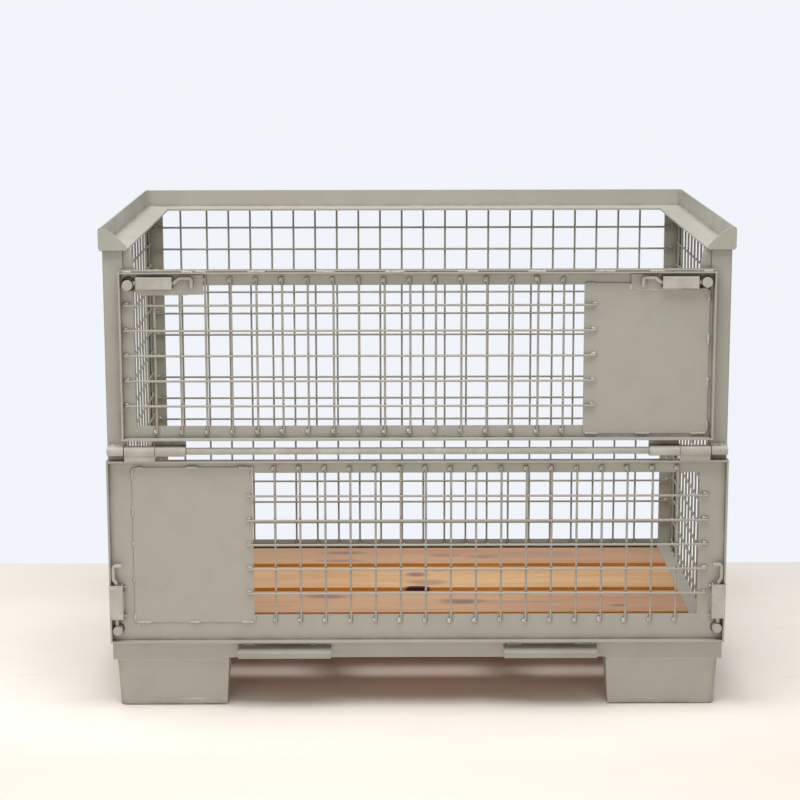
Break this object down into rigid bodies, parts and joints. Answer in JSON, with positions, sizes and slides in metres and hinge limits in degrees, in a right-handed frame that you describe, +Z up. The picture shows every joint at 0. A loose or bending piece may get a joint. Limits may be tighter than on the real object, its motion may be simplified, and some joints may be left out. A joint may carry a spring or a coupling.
{
  "type": "wire mesh container",
  "caption": "Steel mesh box pallet with a board floor, corner posts, pressed feet, a stacking rail on three sides and a two-piece hinged mesh front with sliding latches.",
  "frame": {"origin": "on the floor, at the bottom centre of the container's bounding box", "axes": "+X along the long side, -Y out of the opening front, +Z up"},
  "size_m": [1.24, 0.835, 0.97],
  "materials": {
    "frame_paint": "satin stone grey paint",
    "wire_mesh_paint": "satin stone grey paint",
    "hinge_and_latch_paint": "satin stone grey paint",
    "softwood_boards": "planed softwood, unvarnished"
  },
  "bodies": {
    "base": {"back_post_left": "frame_paint", "back_post_right": "frame_paint", "floor_bearers": "frame_paint", "floor_board_1": "softwood_boards", "floor_board_2": "softwood_boards", "floor_board_3": "softwood_boards", "floor_board_4": "softwood_boards", "foot_back_left": "frame_paint", "foot_back_right": "frame_paint", "foot_front_left": "frame_paint", "foot_front_right": "frame_paint", "fork_guard_left": "frame_paint", "fork_guard_right": "frame_paint", "front_post_left": "frame_paint", "front_post_right": "frame_paint", "hinge_rod": "hinge_and_latch_paint", "lower_studs": "hinge_and_latch_paint", "mesh_back": "wire_mesh_paint", "mesh_left": "wire_mesh_paint", "mesh_right": "wire_mesh_paint", "rail_back": "frame_paint", "rail_end_left": "frame_paint", "rail_end_right": "frame_paint", "rail_left": "frame_paint", "rail_right": "frame_paint", "rod_saddles": "hinge_and_latch_paint", "sill_back": "frame_paint", "sill_front": "frame_paint", "sill_left": "frame_paint", "sill_right": "frame_paint", "stud_plates": "frame_paint", "upper_studs": "hinge_and_latch_paint"},
    "upper_flap": {"upper_flap_bottom": "frame_paint", "upper_flap_cap_bar": "frame_paint", "upper_flap_knuckles": "hinge_and_latch_paint", "upper_flap_left": "frame_paint", "upper_flap_mesh": "wire_mesh_paint", "upper_flap_panel": "frame_paint", "upper_flap_right": "frame_paint", "upper_flap_top": "frame_paint", "upper_latch_barrel_left": "hinge_and_latch_paint", "upper_latch_barrel_right": "hinge_and_latch_paint", "upper_latch_plate_left": "hinge_and_latch_paint", "upper_latch_plate_right": "hinge_and_latch_paint"},
    "lower_flap": {"lower_flap_bottom": "frame_paint", "lower_flap_knuckles": "hinge_and_latch_paint", "lower_flap_left": "frame_paint", "lower_flap_mesh": "wire_mesh_paint", "lower_flap_panel": "frame_paint", "lower_flap_right": "frame_paint", "lower_flap_top": "frame_paint", "lower_latch_barrel_left": "hinge_and_latch_paint", "lower_latch_barrel_right": "hinge_and_latch_paint"},
    "upper_bolt_left": {"upper_latch_bolt_left": "hinge_and_latch_paint"},
    "lower_bolt_left": {"lower_latch_bolt_left": "hinge_and_latch_paint"},
    "upper_bolt_right": {"upper_latch_bolt_right": "hinge_and_latch_paint"},
    "lower_bolt_right": {"lower_latch_bolt_right": "hinge_and_latch_paint"}
  },
  "joints": [
    {"name": "upper_flap_hinge", "type": "hinge", "parent": "base", "child": "upper_flap", "pos_m": [0, -0.4065, 0.5305], "axis": [1, 0, 0], "range_deg": [0, 145]},
    {"name": "lower_flap_hinge", "type": "hinge", "parent": "base", "child": "lower_flap", "pos_m": [0, -0.4065, 0.5305], "axis": [-1, 0, 0], "range_deg": [0, 145]},
    {"name": "upper_bolt_left_slide", "type": "slide", "parent": "upper_flap", "child": "upper_bolt_left", "axis": [-1, 0, 0], "range_m": [-0.014, 0.005]},
    {"name": "lower_bolt_left_slide", "type": "slide", "parent": "lower_flap", "child": "lower_bolt_left", "axis": [0, 0, -1], "range_m": [-0.014, 0.005]},
    {"name": "upper_bolt_right_slide", "type": "slide", "parent": "upper_flap", "child": "upper_bolt_right", "axis": [1, 0, 0], "range_m": [-0.014, 0.005]},
    {"name": "lower_bolt_right_slide", "type": "slide", "parent": "lower_flap", "child": "lower_bolt_right", "axis": [0, 0, -1], "range_m": [-0.014, 0.005]}
  ]
}
